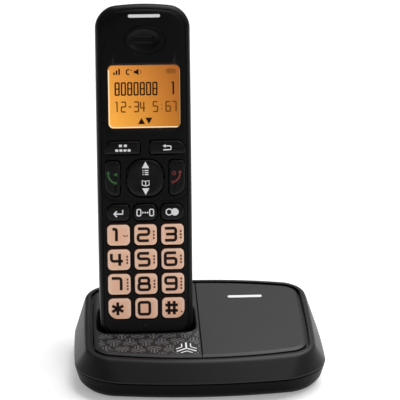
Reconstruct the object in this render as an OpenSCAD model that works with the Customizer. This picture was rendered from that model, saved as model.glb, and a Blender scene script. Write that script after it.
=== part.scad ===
// Cordless telephone: a reclining big-button handset that charges in a low desk base.
// Millimetres, +Z up, front towards -Y, origin under the centre of the base.

/* [Base] */
// Width of the base at its parting line
base_w = 124; // [118:1:130]
// Depth of the base at its parting line
base_d = 92; // [90:1:96]
// Height of the parting line between the lower and upper shells
part_z = 10.6; // [10:0.1:11]
// Height of the deck plane above the base's centre
deck_z = 24.2; // [24:0.1:25]
// Forward slope of the deck, in degrees
deck_tilt = 6.8; // [6:0.1:7.5]
// Wall thickness of the base shells
base_wall = 2; // [1.6:0.1:2.2]

/* [Handset] */
// Width of the handset
hs_w = 46.2; // [45.6:0.1:46.8]
// Length of the handset
hs_len = 169; // [168:1:175]
// Thickness of the handset
hs_t = 25; // [25:0.5:26]
// Recline of the handset from the vertical, in degrees
recline = 10; // [9:0.5:11]
// Wall thickness of the handset shells
hs_wall = 1.8; // [1.6:0.1:2]

/* [Keypad] */
// Column pitch of the number keys
col_pitch = 13.2; // [13:0.1:13.4]
// Row pitch of the number keys
row_pitch = 12.3; // [12.1:0.1:12.4]
// Width of a number key
num_w = 11; // [10.4:0.1:11.4]
// Height of a number key
num_h = 10.3; // [9.8:0.1:10.6]
// How far the keys stand proud of the face
key_proud = 0.9; // [0.6:0.1:1.2]

/* [Hidden] */
eps = 0.01;
gap = 0.3;                        // running gap around a key or cover

// Base outline data: size, corner radius, bow of the sides, bow of the front and back
part_r = 22.5;
part_bow = [1.1, 6.8];
turn_bow = [1.1, 6.4];
sole_bow = [1.1, 5.8];
deck_y = 2;                       // the deck's centre sits a little behind the footprint's
rim_w = base_w - 11;
rim_d = base_d - 9.8;
rim_r = 10.9;
rim_bow = [0.9, 6.15];
groove_in = 2.6;                  // from the rim's crease to the groove
panel_in = 4.1;                   // from the rim's crease to the edge of the deck panels
panel_t = 2.4;
panel_up = 0.4;                   // deck panels stand this far above the rim plane
foot_z = 1.3;                     // underside of the lower shell
pedestal_z = 0.3;
seam_x = 0.3;                     // seam between the two deck panels

// Handset placing
hs_x = -25.9;
hs_y = -10.75;
hs_z = 15.65;
hs_split = 9;                     // depth of the parting plane between the handset shells
face_in = 2.4;                    // from the outline to the crease of the front face
well_gap = 0.9;
well_wall = 1.6;

// Keypad rows, measured along the handset from its bottom end
row_z = [for (i = [0:3]) 56.3 - i * row_pitch];
soft_z = 67.4;
nav_z = 84.3;
menu_z = 99.4;
lcd_z = 124.1;
ear_z = 151.6;
key_floor = 3.6;                  // depth of a key's lower face
key_flange = 0.7;
mat_y = 4.4;
nav_axle_y = 3.4;
bay = [30, 84];                   // battery bay, along the handset
cell_y = 16.9;
pcb_y = 6.4;

// Base board, sockets and page button
pcb_z = 8;
pcb_t = 1.6;
jack_w = 13;
jack_h = 12;
jack_d = 14;
line_x = 9;
power_x = 27;
jack_y = 41.8;
page_x = -16;
page_z = 14.6;
page_r = 3.5;
pin_x = 8;
pin_depth = 12.5;                 // where the charge pins meet the handset, from its front
pin_gap = 0.15;                   // between a charge pin's tip and its pad
well_floor = -1;
pcb_at = [[8, -16], [46, -8], [46, 10], [-22, 30]];
screw_at = [[-47, -24], [47, -24], [-47, 25], [47, 25]];
foot_at = [[-34, -29], [34, -29], [-34, 29], [34, 29]];

// ---------- outlines ----------

function arc(cx, cy, r, a0, n) =
    [for (i = [0:n]) [cx + r * cos(a0 + 90 * i / n), cy + r * sin(a0 + 90 * i / n)]];

function between(p, q, m) = [for (i = [1:m - 1]) p + (q - p) * i / m];

// Rounded rectangle; r lists the radii of the corners +x+y, -x+y, -x-y, +x-y
function rounded(w, h, r, n = 6, m = 1) =
    let (a = arc(w / 2 - r[0], h / 2 - r[0], r[0], 0, n),
         b = arc(r[1] - w / 2, h / 2 - r[1], r[1], 90, n),
         c = arc(r[2] - w / 2, r[2] - h / 2, r[2], 180, n),
         d = arc(w / 2 - r[3], r[3] - h / 2, r[3], 270, n))
    concat(a, between(a[n], b[0], m), b, between(b[n], c[0], m),
           c, between(c[n], d[0], m), d, between(d[n], a[0], m));

// Bows an outline: the side edges by bow[0] and the end edges by bow[1] at the corners
function bowed(pts, w, h, bow) =
    [for (p = pts) [p[0] * (1 - 2 * bow[0] / w * pow(2 * p[1] / h, 2)),
                    p[1] * (1 - 2 * bow[1] / h * pow(2 * p[0] / w, 2))]];

function same(r) = [r, r, r, r];

function base_outline(w, d, r, bow) = bowed(rounded(w, d, same(r), 8, 8), w, d, bow);

// Footprint at the parting line, drawn in by side and front
function foot_outline(side, front, r = part_r, bow = part_bow) =
    base_outline(base_w - 2 * side, base_d - 2 * front, r - side, bow);

// Outline parallel to the rim's crease, drawn in by t
function rim_outline(t) =
    base_outline(rim_w - 2 * t, rim_d - 2 * t, max(rim_r - t, 2), rim_bow);

// Handset seen from the front, drawn in by side, top and bottom
function hs_outline(side, top, bottom) =
    let (w = hs_w - 2 * side, h = hs_len - top - bottom, r = 9.5 - min(side, 5) * 0.6,
         pts = bowed(rounded(w, h, same(r), 7, 6), w, h, [0.2, 2.4]))
    [for (p = pts) [p[0], p[1] + (hs_len - top + bottom) / 2]];

// ---------- placing ----------

module in_handset() translate([hs_x, hs_y, hs_z]) rotate([-recline, 0, 0]) children();

module on_deck() translate([0, 0, deck_z]) rotate([deck_tilt, 0, 0]) children();

// Extrudes a handset outline from depth y0 to y1
module slab(pts, y0, y1) translate([0, y1, 0]) rotate([90, 0, 0]) linear_extrude(y1 - y0) polygon(pts);

// A flat plate of the deck's outline, in the deck's own frame
module deck_slab(t, z0, z1) translate([0, deck_y, z0]) linear_extrude(z1 - z0) polygon(rim_outline(t));

// Upright cylinder between two heights
module post(r, z0, z1, fn = 32) translate([0, 0, z0]) cylinder(r = r, h = z1 - z0, $fn = fn);

// Cylinder along the handset's depth, from y0 to y1
module peg(r, y0, y1, fn = 40) translate([0, y0, 0]) rotate([-90, 0, 0]) cylinder(r = r, h = y1 - y0, $fn = fn);

// Block from one corner to the other
module block(a, b) translate(a) cube(b - a);

// ---------- base bodies ----------

module upper_body(t) hull() {
    translate([0, 0, part_z - (t > 0 ? 1 : 0)]) linear_extrude(eps) polygon(foot_outline(t, t));
    on_deck() deck_slab(t + 0.8, -t - eps, -t);
    on_deck() deck_slab(t, -t - 0.9, -t - 0.8);
}

module lower_body(t) hull() {
    translate([0, 0, part_z - 0.3]) linear_extrude(0.1 + t) polygon(foot_outline(t + 0.3, t + 0.3));
    translate([0, 0, foot_z + 2.6 + t * 0.4]) linear_extrude(eps) polygon(foot_outline(2.4 + t, 3.6 + t, 21, turn_bow));
    translate([0, 0, foot_z + t]) linear_extrude(eps) polygon(foot_outline(5.6 + t, 5.6 + t, 19, sole_bow));
}

module at_screws() for (p = screw_at) translate([p[0], p[1], 0]) children();

module back_windows() {
    for (x = [line_x, power_x])
        block([x - jack_w / 2 - 0.2, 38, part_z - 1], [x + jack_w / 2 + 0.2, 50, pcb_z + pcb_t + jack_h + 0.2]);
    translate([page_x, 0, page_z]) peg(page_r + gap, 38, 50);
}

module base_upper_shell() color("#1b1b1d") difference() {
    union() {
        difference() {
            upper_body(0);
            upper_body(base_wall);
            on_deck() deck_slab(groove_in, -6, 5);
        }
        // ledge that carries the deck panels
        intersection() {
            upper_body(0);
            on_deck() difference() {
                deck_slab(groove_in - 0.8, panel_up - panel_t - 1.8, panel_up - panel_t);
                deck_slab(panel_in + 4.4, -8, 0);
                // room for the wall of the well
                translate([-60, -18, -9]) cube([15, 40, 12]);
            }
        }
        // screw bosses, hanging from the ledge
        intersection() {
            upper_body(0.5);
            at_screws() post(3.6, part_z - 0.5, deck_z);
            on_deck() translate([-70, -60, -30]) cube([140, 120, 30 + panel_up - panel_t]);
        }
    }
    at_screws() post(1.25, 0, part_z + 8);
    back_windows();
}

module base_lower_shell() color("#161617") difference() {
    union() {
        difference() {
            lower_body(0);
            lower_body(base_wall);
        }
        translate([0, 0, pedestal_z]) linear_extrude(foot_z - pedestal_z + 0.5) polygon(foot_outline(14, 9.4));
        at_screws() post(4.4, foot_z, part_z - 0.6);
        for (p = pcb_at) translate([p[0], p[1], 0]) post(2.6, foot_z, pcb_z);
    }
    at_screws() {
        post(1.7, -1, part_z);
        post(3.1, -1, foot_z + 4);
    }
    for (p = foot_at) translate([p[0], p[1], 0]) post(5, -1, 1);
}

module well_outline(t) {
    polygon([for (p = rounded(hs_w + 2 * well_gap + 2 * t, hs_t + 1.4 + 2 * t,
        [7 + t, 7 + t, 4.5 + t, 4.5 + t], 6, 1)) [p[0], p[1] + hs_t / 2]]);
}

module cradle_panel() color("#2c2c2f") difference() {
    union() {
        on_deck() intersection() {
            deck_slab(panel_in, panel_up - panel_t, panel_up);
            translate([-80, -60, -5]) cube([80 + seam_x - 0.15, 120, 10]);
        }
        intersection() {
            in_handset() translate([0, 0, well_floor - 1.4]) linear_extrude(30) well_outline(well_wall);
            on_deck() translate([-80, -60, -40]) cube([80 + seam_x - 0.15, 120, 40 + panel_up - 0.2]);
        }
    }
    in_handset() difference() {
        translate([0, 0, well_floor]) linear_extrude(40) well_outline(0);
        // rib that the handset stands on
        block([-2, 5, well_floor - 1], [2, 14.5, -0.03]);
    }
    // windows for the charge pins
    for (x = [-pin_x, pin_x])
        in_handset() translate([x, pin_depth, -5]) cylinder(r = 2.2, h = 8, $fn = 32);
    // shallow engraved trefoil pattern in front of the well
    cradle_pattern();
}

// One three-armed star with its arms at 90, 210 and 330 degrees
module trefoil(r, line) for (a = [90, 210, 330])
    rotate(a) translate([-line / 2, -line / 2]) square([r + line / 2, line]);

module cradle_pattern() {
    pitch = 7.6;
    on_deck() for (i = [0:5], j = [0:1])
        translate([-48 + pitch * (i + j / 2), -31.6 + j * pitch * 0.866, panel_up - 0.25])
            linear_extrude(1) trefoil(pitch * 0.42, 0.6);
}

module cover_panel() color("#3a3a3d") on_deck() intersection() {
    deck_slab(panel_in, panel_up - panel_t, panel_up);
    translate([seam_x + 0.15, -60, -5]) cube([80, 120, 10]);
}

module base_pcb() color("#1f5a34") difference() {
    translate([0, 0, pcb_z]) linear_extrude(pcb_t)
        polygon([[4, -19], [50, -19], [50, 18], [41, 20], [41, 36], [-28, 36], [-28, 23], [4, 23]]);
    for (p = pcb_at) translate([p[0], p[1], 0]) post(1.3, 0, 20);
}

// Six-way modular socket, mouth towards +Y
module modular_jack(x) difference() {
    z0 = pcb_z + pcb_t;
    union() {
        block([x - jack_w / 2, jack_y - jack_d, z0], [x + jack_w / 2, 38, z0 + jack_h]);
        block([x - jack_w / 2, jack_y - jack_d, part_z], [x + jack_w / 2, jack_y, z0 + jack_h]);
    }
    block([x - 4.9, jack_y - 11.5, z0 + 2.6], [x + 4.9, jack_y + 1, z0 + 9.4]);
    block([x - 3.2, jack_y - 11.5, z0 + 9], [x + 3.2, jack_y + 1, z0 + 10.8]);
}

module line_jack() color("#2a2a2a") modular_jack(line_x);

module power_jack() color("#2a2a2a") modular_jack(power_x);

module rf_module() color("#b9bcc0") block([12, -14, pcb_z + pcb_t], [38, 6, pcb_z + pcb_t + 3]);

module base_components() color("#20262e") {
    for (p = [[44, -15, 3.2, 7], [45, 0, 2.6, 5.5], [20, 14, 4, 8]])
        translate([p[0], p[1], 0]) post(p[2], pcb_z + pcb_t, pcb_z + pcb_t + p[3]);
    block([28, 10, pcb_z + pcb_t], [39, 21, pcb_z + pcb_t + 9]);
    block([-9, 26, pcb_z + pcb_t], [-1, 34, pcb_z + pcb_t + 1.4]);
}

module page_switch() color("#3a3a3a") {
    block([page_x - 4, 29.5, pcb_z + pcb_t], [page_x + 4, 38.2, page_z + 3]);
    translate([page_x, 0, page_z]) peg(1.6, 38.1, 39.2, 24);
}

module page_button() color("#1b1b1d") translate([page_x, 0, page_z]) {
    peg(page_r, 40.1, 45.9);
    peg(page_r + 1.1, 40.1, 41.2);
}

module contact_carrier() color("#d8d5cc") difference() {
    p = pin_place();
    block([hs_x - pin_x - 4, p[1] - 4.4, foot_z + base_wall], [hs_x + pin_x + 4, p[1] + 4.4, p[2] - 3.4]);
    for (x = [-pin_x, pin_x]) translate([hs_x + x, p[1], 0]) {
        post(2.6, 5.2, p[2] - 4.2);
        post(1.46, 5.2, 20);
    }
}

// Where the tip of a charge pin meets the handset's lower end: y and z in the base's frame
function pin_place() = [0, hs_y + pin_depth * cos(recline), hs_z - pin_depth * sin(recline)];

module charge_pin(x) color("#d9b45a") translate([hs_x + x, pin_place()[1], 0]) {
    tip = pin_place()[2] - pin_gap;
    post(1.4, tip - 5.2, tip - 0.5);
    post(2.3, tip - 5.2, tip - 4.4);
    translate([0, 0, tip - 0.5]) cylinder(r1 = 1.4, r2 = 0.8, h = 0.5, $fn = 32);
}

module charge_pin_left() charge_pin(-pin_x);

module charge_pin_right() charge_pin(pin_x);

// Points of a ring of the helix's wire, and the helix swept through them
function helix_ring(t, r, pitch, wire, n) =
    [for (k = [0:n - 1]) let (a = 360 * k / n, q = r + wire * cos(a))
        [q * cos(360 * t), q * sin(360 * t), pitch * t + wire * sin(a)]];

module helix(r, pitch, turns, wire, steps = 12, n = 6) {
    rings = round(turns * steps);
    pts = [for (i = [0:rings]) each helix_ring(i / steps, r, pitch, wire, n)];
    polyhedron(pts, concat(
        [[for (k = [0:n - 1]) k]],
        [for (i = [0:rings - 1], k = [0:n - 1])
            [i * n + k, (i + 1) * n + k, (i + 1) * n + (k + 1) % n, i * n + (k + 1) % n]],
        [[for (k = [n - 1:-1:0]) rings * n + k]]));
}

module charge_spring(x) color("#b8b8b8")
    translate([hs_x + x, pin_place()[1], 5.45])
        helix(1.85, (pin_place()[2] - pin_gap - 5.2 - 0.25 - 5.45) / 3, 3, 0.22);

module charge_spring_left() charge_spring(-pin_x);

module charge_spring_right() charge_spring(pin_x);

module rubber_feet() color("#0d0d0d") for (p = foot_at) translate([p[0], p[1], 0]) post(4.9, 0, 1);

module base_screws() color("#9a9a9a") at_screws() {
    post(1.2, foot_z + 2.5, part_z + 6.5, 24);
    post(2.8, foot_z + 2, foot_z + 3.95, 24);
}

// ---------- handset bodies ----------

// Solid of the handset, drawn in by t; the front is slightly crowned and the back well rounded.
// Each entry holds the depth and how far the outline is drawn in at the sides, top and bottom.
hs_layers = [[0, 11, 3.2, 3.2], [0.35, 5.6, 2.7, 2.7], [0.8, 2.4, 2.2, 2.2], [2.1, 0.6, 0.6, 0.6],
    [4.2, 0, 0, 0], [15, 0, 1.2, 0], [19.5, 1.4, 5.5, 1.5], [22.8, 4.6, 13, 4], [24.6, 9.4, 24, 8],
    [25, 13, 34, 12]];

module hs_body(t) hull() for (s = hs_layers) {
    y = t + s[0] * (hs_t - 2 * t) / hs_t;
    slab(hs_outline(s[1] * (1 - t / hs_t) + t, s[2] + t, s[3] + t), y, y + eps);
}

module key_shape(w, h, r, grow = 0) polygon(rounded(w + 2 * grow, h + 2 * grow, [for (v = r) v + grow], 5));

// [x, z, width, height, corner radii]
number_r = [2.2, 2.2, 2.2, 2.2];
function num_key(col, row) = [col_pitch * (col - 1), row_z[row], num_w, num_h,
    row == 3 && col == 0 ? [2.2, 2.2, 4.6, 2.2] : row == 3 && col == 2 ? [2.2, 2.2, 2.2, 4.6] : number_r];
recall_k = [-col_pitch, soft_z, 11, 8.1, [2.2, 3.4, 3, 2.4]];
intercom_k = [0, soft_z, 11.4, 8.1, [2.8, 2.8, 2.8, 2.8]];
redial_k = [col_pitch, soft_z, 11.2, 8.1, [3.8, 2.6, 3, 3.4]];
talk_k = [-15.7, nav_z, 7, 17.2, [1.4, 1.4, 5.2, 1.8]];
end_k = [15.8, nav_z, 7.4, 17.2, [1.8, 1.2, 1.8, 5.4]];
nav_k = [0.3, nav_z, 17.6, 18.2, [7, 7, 7, 7]];
menu_k = [-10.8, menu_z, 17, 6.2, [1.2, 3.6, 1, 1]];
back_k = [11.4, menu_z, 17.2, 6.4, [4.4, 1, 1, 1.2]];
plain_keys = [recall_k, intercom_k, redial_k, talk_k, end_k, menu_k, back_k];

// Prism of a key's outline, grown by g, from depth y0 to y1
module key_prism(k, g, y0, y1) translate([k[0], y1, k[1]]) rotate([90, 0, 0])
    linear_extrude(y1 - y0) key_shape(k[2], k[3], k[4], g);

// A key: its cap and the flange that keeps it behind the face
module push_key(k) in_handset() {
    key_prism(k, -0.35, -key_proud, 0.2 - key_proud);
    key_prism(k, 0, 0.2 - key_proud, key_floor);
    intersection() {
        key_prism(k, 0.6, key_floor - key_flange, key_floor);
        block([-18.9, 0, 0], [18.9, 9, hs_len]);
    }
}

module number_key(col, row) color("#e8c9b4") push_key(num_key(col, row));

module dark_key(k) color("#222224") push_key(k);

module nav_key() color("#222224") in_handset() {
    key_prism(nav_k, -0.4, -0.7, -0.4);
    key_prism(nav_k, -0.1, -0.4, nav_axle_y - 0.2);
    nav_axle(0.5, 10.8);
}

// Cylinder across the handset on the rocker's axle line
module nav_axle(r, half) translate([nav_k[0] - half, nav_axle_y, nav_k[1]]) rotate([0, 90, 0])
    cylinder(r = r, h = 2 * half, $fn = 32);

module window_prism(g, y0, y1) translate([0.3, y1, lcd_z]) rotate([90, 0, 0])
    linear_extrude(y1 - y0) polygon(rounded(35.6 + 2 * g, 31.4 + 2 * g, same(2.8 + g)));

module ear_slot(z, w, h, y0, y1) translate([0, y1, z]) rotate([90, 0, 0])
    linear_extrude(y1 - y0) polygon(rounded(w, h, same(h / 2 - 0.01)));

module ear_dish(w, h, y1) translate([0.3, y1, ear_z]) rotate([90, 0, 0]) linear_extrude(y1 + 1)
    polygon([for (a = [0:12:348]) [w / 2 * cos(a), h / 2 * sin(a)]]);

// Half of the handset's wall, on one side of the parting plane
module hs_half(y0, y1) intersection() {
    difference() {
        hs_body(0);
        hs_body(hs_wall);
    }
    block([-40, y0, -10], [40, y1, hs_len + 10]);
}

module handset_front_shell() color("#19191b") in_handset() difference() {
    union() {
        hs_half(-1, hs_split - 0.05);
        // bearings of the rocker's axle
        for (x = [-10.2, 10.2])
            block([nav_k[0] + x - 0.5, 1.5, nav_k[1] - 1.6], [nav_k[0] + x + 0.5, 4.3, nav_k[1] + 1.6]);
        for (x = [-13, 13]) translate([x, 0, 146]) peg(2.5, 1.5, hs_split - 0.05);
    }
    nav_axle(0.56, 12);
    for (x = [-13, 13]) translate([x, 0, 146]) peg(1, 3, 12, 24);
    for (c = [0:2], r = [0:3]) key_prism(num_key(c, r), gap, -2, 4);
    for (k = plain_keys) key_prism(k, gap, -2, 4);
    key_prism(nav_k, gap, -2, 4);
    window_prism(0.1, -1, 1.5);
    window_prism(-0.4, -1, 4);
    ear_dish(15.6, 10.2, 0.9);
    for (z = [ear_z - 1.4, ear_z + 1.4]) ear_slot(z, 11.6, 1.1, -1, 4);
    translate([-0.4, 0, 10.4]) peg(0.6, -1, 4, 24);
}

module handset_back_shell() color("#19191b") in_handset() difference() {
    union() {
        difference() {
            hs_half(hs_split + 0.05, 30);
            block([-16.15, 12, bay[0] - 0.15], [16.15, 30, bay[1] + 0.15]);
        }
        // bosses of the two screws that close the shells
        intersection() {
            hs_body(hs_wall / 2);
            for (x = [-13, 13]) translate([x, 0, 146]) peg(2.9, hs_split + 0.05, 25);
        }
        // battery bay, open towards the back
        intersection() {
            hs_body(hs_wall / 2);
            difference() {
                block([-17.6, 10.2, bay[0] - 1.6], [17.6, 21.4, bay[1] + 1.6]);
                block([-16.15, 11.4, bay[0] - 0.15], [16.15, 30, bay[1] + 0.15]);
            }
        }
    }
    // ringer grille
    for (i = [-2:2]) ear_slot(126 + i * 3, 14 - abs(i) * 2.4, 1.3, 20, 27);
    // pads and the two screw holes at the top
    for (x = [-pin_x, pin_x]) {
        block([x - 2.6, pin_depth - 2.6, -1], [x + 2.6, pin_depth + 2.6, 0.6]);
        block([x - 0.8, pin_depth - 0.8, -1], [x + 0.8, pin_depth + 0.8, 5]);
    }
    for (x = [-13, 13]) translate([x, 0, 146]) {
        peg(1.3, 8, 30, 24);
        peg(2.1, 19, 30, 24);
    }
}

module battery_cover() color("#19191b") in_handset() intersection() {
    difference() {
        hs_body(0);
        hs_body(hs_wall);
    }
    block([-16, 21.8, bay[0]], [16, 30, bay[1]]);
}

module display_lens() color("#5a3a1a", 0.5) in_handset() window_prism(-0.05, 0.4, 1.5);

module lcd_panel() color("#e08a20") in_handset() block([-17.4, 2.6, lcd_z - 16.6], [18, 3.9, lcd_z + 16.6]);

module backlight_plate() color("#f4efe2") in_handset() block([-17.4, 4, lcd_z - 16.6], [18, 5.7, lcd_z + 16.6]);

module keypad_mat() color("#d9d4cc") in_handset()
    block([-19.6, mat_y, 12.5], [19.6, mat_y + 0.8, 104.5]);

module key_domes() color("#c9ccd0") in_handset() {
    at = concat([for (c = [0:2], r = [0:3]) num_key(c, r)], plain_keys,
        [for (s = [-1, 1]) [nav_k[0], nav_k[1] + 6 * s]]);
    for (k = at) translate([k[0], 0, k[1]]) peg(2.5, pcb_y - 0.4, pcb_y - 0.05, 24);
}

module handset_pcb() color("#1f5a34") in_handset()
    block([-18.6, pcb_y, 11.5], [18.6, pcb_y + 1.2, 141]);

module handset_rf_shield() color("#b9bcc0") in_handset()
    block([-14, pcb_y + 1.3, 92], [14, pcb_y + 4.2, 118]);

module earpiece_speaker() color("#4a4a4c") in_handset() translate([0.3, 0, ear_z]) {
    peg(8.6, 3, 6.4);
    peg(5.6, 6.3, 8.4);
}

module earpiece_mesh() color("#0c0c0c") in_handset() translate([0.3, 0, ear_z]) peg(8.2, 2.2, 2.7);

module microphone() color("#8c8c8c") in_handset() translate([-0.4, 0, 10.4]) peg(2.4, 2.2, 4, 32);

module ringer_speaker() color("#4a4a4c") in_handset() translate([0, 0, 126]) {
    peg(10, 16.5, 20.4);
    peg(6.5, 13.6, 16.6);
}

// Rechargeable cell of size AAA, terminal up or down
module cell(x, up) in_handset() translate([x, cell_y, up ? bay[0] + 8.8 : bay[0] + 1.8]) {
    post(5.2, 0, 43.4, 40);
    translate([0, 0, up ? 43.3 : -0.8]) post(1.9, 0, 0.9, 24);
}

module battery_left() color("#2f7d43") cell(-5.7, true);

module battery_right() color("#2f7d43") cell(5.7, false);

module battery_springs() color("#b8b8b8") in_handset() {
    for (p = [[-5.7, bay[0] + 1], [5.7, bay[1] - 8.4]]) translate([p[0], cell_y, p[1]]) helix(2.6, 2.4, 3, 0.3);
}

module battery_plates() color("#c9c39a") in_handset() {
    for (x = [-5.7, 5.7]) {
        block([x - 4, 13, bay[0] + 0.1], [x + 4, 20.6, bay[0] + 0.6]);
        block([x - 4, 13, bay[1] - 0.6], [x + 4, 20.6, bay[1] - 0.1]);
    }
}

module charge_pads() color("#d9b45a") in_handset() for (x = [-pin_x, pin_x]) {
    block([x - 2.5, pin_depth - 2.5, 0.15], [x + 2.5, pin_depth + 2.5, 0.55]);
    block([x - 0.7, pin_depth - 0.7, 0.5], [x + 0.7, pin_depth + 0.7, 5]);
}

module handset_screws() color("#9a9a9a") in_handset()
    for (x = [-13, 13]) translate([x, 0, 146]) {
        peg(0.95, 4, 19.2, 24);
        peg(1.95, 19.05, 20.4, 24);
    }

// ---------- assembly ----------

base_lower_shell();
base_upper_shell();
cradle_panel();
cover_panel();
base_pcb();
line_jack();
power_jack();
rf_module();
base_components();
page_switch();
contact_carrier();
rubber_feet();
base_screws();
charge_spring_left();
charge_spring_right();
charge_pin_left();
charge_pin_right();
page_button();
handset_front_shell();
handset_back_shell();
display_lens();
lcd_panel();
backlight_plate();
keypad_mat();
key_domes();
handset_pcb();
handset_rf_shield();
earpiece_speaker();
earpiece_mesh();
microphone();
ringer_speaker();
battery_left();
battery_right();
battery_springs();
battery_plates();
charge_pads();
handset_screws();
battery_cover();
dark_key(menu_k);  // menu_key
dark_key(back_k);  // back_key
dark_key(talk_k);  // talk_key
dark_key(end_k);  // end_key
nav_key();
dark_key(recall_k);  // recall_key
dark_key(intercom_k);  // intercom_key
dark_key(redial_k);  // redial_key
number_key(0, 0);  // key_1
number_key(1, 0);  // key_2
number_key(2, 0);  // key_3
number_key(0, 1);  // key_4
number_key(1, 1);  // key_5
number_key(2, 1);  // key_6
number_key(0, 2);  // key_7
number_key(1, 2);  // key_8
number_key(2, 2);  // key_9
number_key(0, 3);  // key_star
number_key(1, 3);  // key_0
number_key(2, 3);  // key_hash
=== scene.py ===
"""Cordless phone with base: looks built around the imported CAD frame. Lengths in the code are millimetres."""
import math

import bmesh
import bpy
from mathutils import Matrix, Vector


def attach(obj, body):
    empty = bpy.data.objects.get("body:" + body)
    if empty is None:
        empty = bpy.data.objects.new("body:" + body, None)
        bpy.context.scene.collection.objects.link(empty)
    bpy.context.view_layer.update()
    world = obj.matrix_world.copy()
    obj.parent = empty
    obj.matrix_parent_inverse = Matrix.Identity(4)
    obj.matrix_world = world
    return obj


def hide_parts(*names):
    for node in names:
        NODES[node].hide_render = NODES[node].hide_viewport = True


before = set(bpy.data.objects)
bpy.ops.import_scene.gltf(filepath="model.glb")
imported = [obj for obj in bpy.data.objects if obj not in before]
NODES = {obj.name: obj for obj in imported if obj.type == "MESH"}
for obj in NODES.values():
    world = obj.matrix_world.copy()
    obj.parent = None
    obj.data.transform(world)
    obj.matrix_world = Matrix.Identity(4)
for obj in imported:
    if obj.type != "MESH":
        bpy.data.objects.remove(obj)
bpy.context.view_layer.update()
MM = 0.001

# ---------------------------------------------------------------- the CAD's own numbers
BASE_W, BASE_D, PART_R, PART_Z = 124.0, 92.0, 22.5, 10.6
PART_BOW, RIM_BOW = (1.1, 6.8), (0.9, 6.15)
TURN, SOLE = (21, (1.1, 6.4)), (19, (1.1, 5.8))
DECK_Z, DECK_TILT, DECK_Y = 24.2, 6.8, 2.0
RIM_W, RIM_D, RIM_R = BASE_W - 11, BASE_D - 9.8, 10.9
GROOVE_IN, PANEL_IN, PANEL_T, PANEL_UP, SEAM_X = 2.6, 4.1, 2.4, 0.4, 0.3
FOOT_Z = 1.3
HS_W, HS_LEN, HS_T, RECLINE = 46.2, 169.0, 25.0, 10.0
HS_X, HS_Y, HS_Z, HS_SPLIT = -25.9, -10.75, 15.65, 9.0
COL, ROW, NUM_W, NUM_H = 13.2, 12.3, 11.0, 10.3
ROW_Z = [56.3 - i * ROW for i in range(4)]
SOFT_Z, NAV_Z, MENU_Z, LCD_Z, EAR_Z = 67.4, 84.3, 99.4, 124.1, 151.6
BAY = (30.0, 84.0)
PIN_X, PIN_DEPTH = 8.0, 12.5
LINE_X, POWER_X, JACK_W, JACK_TOP = 9.0, 27.0, 13.0, 21.6
PAGE_X, PAGE_Z, PAGE_R = -16.0, 14.6, 3.5
WELL_FLOOR = -1.0
SCREWS = [(-47, -24), (47, -24), (-47, 25), (47, 25)]
FEET = [(-34, -29), (34, -29), (-34, 29), (34, 29)]
KEYS = {
    "recall_key": (-COL, SOFT_Z, 11, 8.1, (2.2, 3.4, 3, 2.4)),
    "intercom_key": (0, SOFT_Z, 11.4, 8.1, (2.8, 2.8, 2.8, 2.8)),
    "redial_key": (COL, SOFT_Z, 11.2, 8.1, (3.8, 2.6, 3, 3.4)),
    "talk_key": (-15.7, NAV_Z, 7, 17.2, (1.4, 1.4, 5.2, 1.8)),
    "end_key": (15.8, NAV_Z, 7.4, 17.2, (1.8, 1.2, 1.8, 5.4)),
    "menu_key": (-10.8, MENU_Z, 17, 6.2, (1.2, 3.6, 1, 1)),
    "back_key": (11.4, MENU_Z, 17.2, 6.4, (4.4, 1, 1, 1.2)),
}
NAV = (0.3, NAV_Z, 17.6, 18.2, (7, 7, 7, 7))
NUM_NAMES = ["key_1", "key_2", "key_3", "key_4", "key_5", "key_6", "key_7", "key_8", "key_9",
             "key_star", "key_0", "key_hash"]
for i, name in enumerate(NUM_NAMES):
    corner = (2.2, 2.2, 2.2, 2.2)
    if name == "key_star":
        corner = (2.2, 2.2, 4.6, 2.2)
    if name == "key_hash":
        corner = (2.2, 2.2, 2.2, 4.6)
    KEYS[name] = (COL * (i % 3 - 1), ROW_Z[i // 3], NUM_W, NUM_H, corner)

# ---------------------------------------------------------------- placing
_r, _t = math.radians(RECLINE), math.radians(DECK_TILT)


def hs(x, y, z):
    """Handset frame (x across, y into the handset, z along it) to the row frame."""
    return Vector((HS_X + x, HS_Y + y * math.cos(_r) + z * math.sin(_r),
                   HS_Z - y * math.sin(_r) + z * math.cos(_r)))


def deck(x, y, z):
    """Deck frame to the row frame."""
    return Vector((x, y * math.cos(_t) - z * math.sin(_t), DECK_Z + y * math.sin(_t) + z * math.cos(_t)))


def row(x, y, z):
    return Vector((x, y, z))


# ---------------------------------------------------------------- outlines
def arc(cx, cy, r, a0, n):
    return [(cx + r * math.cos(math.radians(a0 + 90 * i / n)),
             cy + r * math.sin(math.radians(a0 + 90 * i / n)))
            for i in range(n + 1)]


def between(p, q, m):
    return [(p[0] + (q[0] - p[0]) * i / m, p[1] + (q[1] - p[1]) * i / m) for i in range(1, m)]


def rounded(w, h, r, n=8, m=1):
    """Rounded rectangle; r lists the radii of the corners +x+y, -x+y, -x-y, +x-y."""
    if not hasattr(r, "__len__"):
        r = (r,) * 4
    a = arc(w / 2 - r[0], h / 2 - r[0], r[0], 0, n)
    b = arc(r[1] - w / 2, h / 2 - r[1], r[1], 90, n)
    c = arc(r[2] - w / 2, r[2] - h / 2, r[2], 180, n)
    d = arc(w / 2 - r[3], r[3] - h / 2, r[3], 270, n)
    return (a + between(a[-1], b[0], m) + b + between(b[-1], c[0], m)
            + c + between(c[-1], d[0], m) + d + between(d[-1], a[0], m))


def bowed(pts, w, h, bow):
    return [(x * (1 - 2 * bow[0] / w * (2 * y / h) ** 2), y * (1 - 2 * bow[1] / h * (2 * x / w) ** 2))
            for x, y in pts]


def base_outline(w, d, r, bow):
    return bowed(rounded(w, d, r, 16, 16), w, d, bow)


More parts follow.
